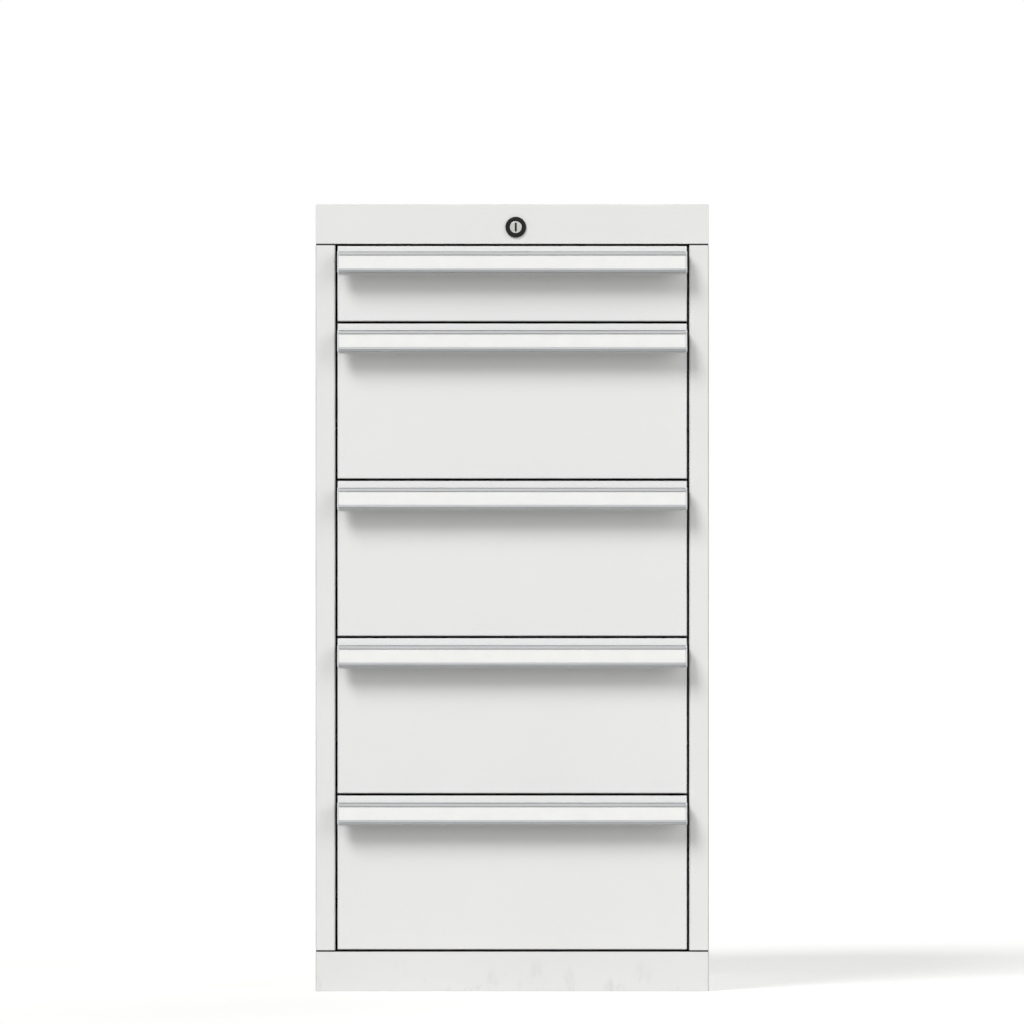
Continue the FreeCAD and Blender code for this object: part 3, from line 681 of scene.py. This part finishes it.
# Plan of a seal on the right, behind the stile's face and the side's
SEAL = [
    (0.2258, -0.2994),
    (0.2493, -0.2994),
    (0.2493, 0.2985),
    (0.2488, 0.2985),
    (0.2488, -0.2989),
    (0.2258, -0.2989),
]


def joint_seals():
    """Black strips in the shadow joints between the side panels and the plinth and cap."""
    mesh = bmesh.new()
    for low, high in JOINTS:
        for side in (-1, 1):
            add_prism(mesh, [(side * x, y) for x, y in SEAL], low, high, "Z")
    add_piece("joint_seals", mesh, RUBBER, "cabinet")


# Profile of a low ring with a dent in its middle, as (height, radius)
WELD_MARK = [
    (-0.00020, 0.0032),
    (0.00000, 0.0031),
    (0.00016, 0.0026),
    (0.00006, 0.0015),
    (0.00003, 0),
]


def weld_marks():
    """Spot welds of the uprights' feet, which show faintly through the paint of both sides."""
    mesh = bmesh.new()
    for side in (-1, 1):
        for y in UPRIGHT_FEET:
            for z in spaced(0.095, 0.905, 10):
                spot = (side * HALF_WIDTH, y, z)
                add_turned(mesh, WELD_MARK, spot, (side, 0, 0), 16)
    add_piece("side_weld_marks", mesh, BODY, "cabinet")


SHUTTER = 0.00224  # its width, a little less than the key slot's


def key_shutter():
    """The sprung shutter a little inside the key slot."""
    x, z = LOCK
    outline = [
        (LOCK_FACE + 0.0030, z - 0.0054),
        (LOCK_FACE + 0.0012, z - 0.0040),
        (LOCK_FACE + 0.0012, z + 0.0040),
        (LOCK_FACE + 0.0030, z + 0.0054),
    ]
    mesh = bmesh.new()
    add_prism(mesh, outline, x - SHUTTER / 2, x + SHUTTER / 2)
    add_piece("lock_key_shutter", mesh, BLACK, "lock_plug")


REAR_FLANGE = 0.240  # middle of the sides' rear flanges, out from the middle


def back_rivets():
    """Rivets through the rear flanges into the back sheet."""
    mesh = bmesh.new()
    head = dome(0.0032, 0.0013)
    for side in (-1, 1):
        for z in spaced(0.085, 0.915, 7):
            add_turned(mesh, head, (side * REAR_FLANGE, BACK, z), (0, 1, 0))
    add_piece("back_rivets", mesh, BODY, "cabinet")


def back_screws(name, height):
    """A row of three screws at the back, such as through the cap's flange."""
    mesh = bmesh.new()
    for x in (-0.18, 0.0, 0.18):
        add_screw(mesh, (x, BACK, height), (0, 1, 0))
    add_piece(name, mesh, ZINC, "cabinet")


def dress_drawers():
    for number, (bottom, top) in DRAWERS.items():
        handle_caps(number, top)
        rail_rivets(number, bottom)
        balls(number, bottom, "outer")
        balls(number, bottom, "inner")
        end_stops(number, bottom)
        front_buffers(number, bottom)
        middle_stops(number, bottom)
        release_levers(number, bottom)
        front_screws(number, bottom, top)


# The studio


def seen_directly(tree):
    """1 for rays from the camera, off glossy surfaces or through clear ones, and 0 for the rest."""
    path = new_node(tree, "ShaderNodeLightPath")
    one = new_node(tree, "ShaderNodeMath", _operation="MAXIMUM")
    both = new_node(tree, "ShaderNodeMath", _operation="MAXIMUM")
    join(
        tree,
        (path.outputs["Is Camera Ray"], one.inputs[0]),
        (path.outputs["Is Glossy Ray"], one.inputs[1]),
        (one.outputs[0], both.inputs[0]),
        (path.outputs["Is Transmission Ray"], both.inputs[1]),
    )
    return both.outputs[0]


FLOOR_Z = -0.0003  # a hair under the plinth's lips, which lie in z = 0
FLOOR_COLOUR = (0.62, 0.62, 0.61, 1)
FLOOR_GLOW = 0.45
FLOOR_REACH = 60.0
AMBIENT = 0.28


def floor():
    """The floor: matt under the lamps, and with a glow of its own where it is seen, so that it
    reads as white and keeps the cabinet's shadow."""
    mesh = bmesh.new()
    reach = FLOOR_REACH
    corners = [(-reach, -reach), (reach, -reach), (reach, reach), (-reach, reach)]
    mesh.faces.new([mesh.verts.new((x, y, FLOOR_Z)) for x, y in corners])
    data = bpy.data.meshes.new("studio_floor")
    mesh.to_mesh(data)
    mesh.free()
    made = bpy.data.objects.new("studio_floor", data)
    bpy.context.scene.collection.objects.link(made)
    look = bpy.data.materials.new("studio_floor")
    look.use_nodes = True
    tree = look.node_tree
    tree.nodes.clear()
    matte = new_node(tree, "ShaderNodeBsdfDiffuse", Color=FLOOR_COLOUR)
    glow = new_node(tree, "ShaderNodeEmission", Color=(1, 1, 1, 1))
    strength = new_node(tree, "ShaderNodeMath", _operation="MULTIPLY")
    strength.inputs[1].default_value = FLOOR_GLOW
    both = new_node(tree, "ShaderNodeAddShader")
    out = new_node(tree, "ShaderNodeOutputMaterial")
    join(
        tree,
        (seen_directly(tree), strength.inputs[0]),
        (strength.outputs[0], glow.inputs["Strength"]),
        (matte.outputs["BSDF"], both.inputs[0]),
        (glow.outputs["Emission"], both.inputs[1]),
        (both.outputs["Shader"], out.inputs["Surface"]),
    )
    data.materials.append(look)


def world():
    """An even, weak light on the cabinet, which is white where it is seen or mirrored."""
    made = bpy.data.worlds.new("studio")
    bpy.context.scene.world = made
    made.use_nodes = True
    tree = made.node_tree
    tree.nodes.clear()
    ambient = new_node(tree, "ShaderNodeBackground", Color=(1, 1, 1, 1), Strength=AMBIENT)
    white = new_node(tree, "ShaderNodeBackground", Color=(1, 1, 1, 1), Strength=1.0)
    choice = new_node(tree, "ShaderNodeMixShader")
    out = new_node(tree, "ShaderNodeOutputWorld")
    join(
        tree,
        (seen_directly(tree), choice.inputs["Fac"]),
        (ambient.outputs["Background"], choice.inputs[1]),
        (white.outputs["Background"], choice.inputs[2]),
        (choice.outputs["Shader"], out.inputs["Surface"]),
    )


def lamp(name, strength, spread, azimuth, elevation):
    """A broad distant lamp, `spread` degrees wide. Azimuth 0 stands in front of the cabinet and
    90 to its right."""
    data = bpy.data.lights.new(name, "SUN")
    data.energy = strength
    data.angle = math.radians(spread)
    made = bpy.data.objects.new(name, data)
    turn, rise = math.radians(azimuth), math.radians(elevation)
    level = math.cos(rise)
    towards = Vector((math.sin(turn) * level, -math.cos(turn) * level, math.sin(rise)))
    made.rotation_euler = towards.to_track_quat("Z", "Y").to_euler()
    made.location = towards * 5
    bpy.context.scene.collection.objects.link(made)


CAMERA_SPOT = (-0.0003, -14.761, 0.609)


def camera():
    """The photograph's straight front elevation, from far off with a long lens."""
    data = bpy.data.cameras.new("camera")
    data.lens = 400.0
    data.sensor_width = 36.0
    data.clip_start = 0.5
    data.clip_end = 200.0
    made = bpy.data.objects.new("camera", data)
    made.location = CAMERA_SPOT
    made.rotation_euler = (math.radians(90), 0, 0)
    bpy.context.scene.collection.objects.link(made)
    bpy.context.scene.camera = made


dress_solids()
dress_drawers()
back_rivets()
back_screws("cap_screws", 0.972)
back_screws("plinth_screws", 0.036)
joint_seals()
weld_marks()
key_shutter()
floor()
world()
lamp("key", 2.0, 24, -35, 44)
lamp("fill", 0.7, 40, 50, 26)
lamp("rim", 0.8, 40, 155, 32)
camera()
bpy.context.scene.view_settings.view_transform = "Standard"
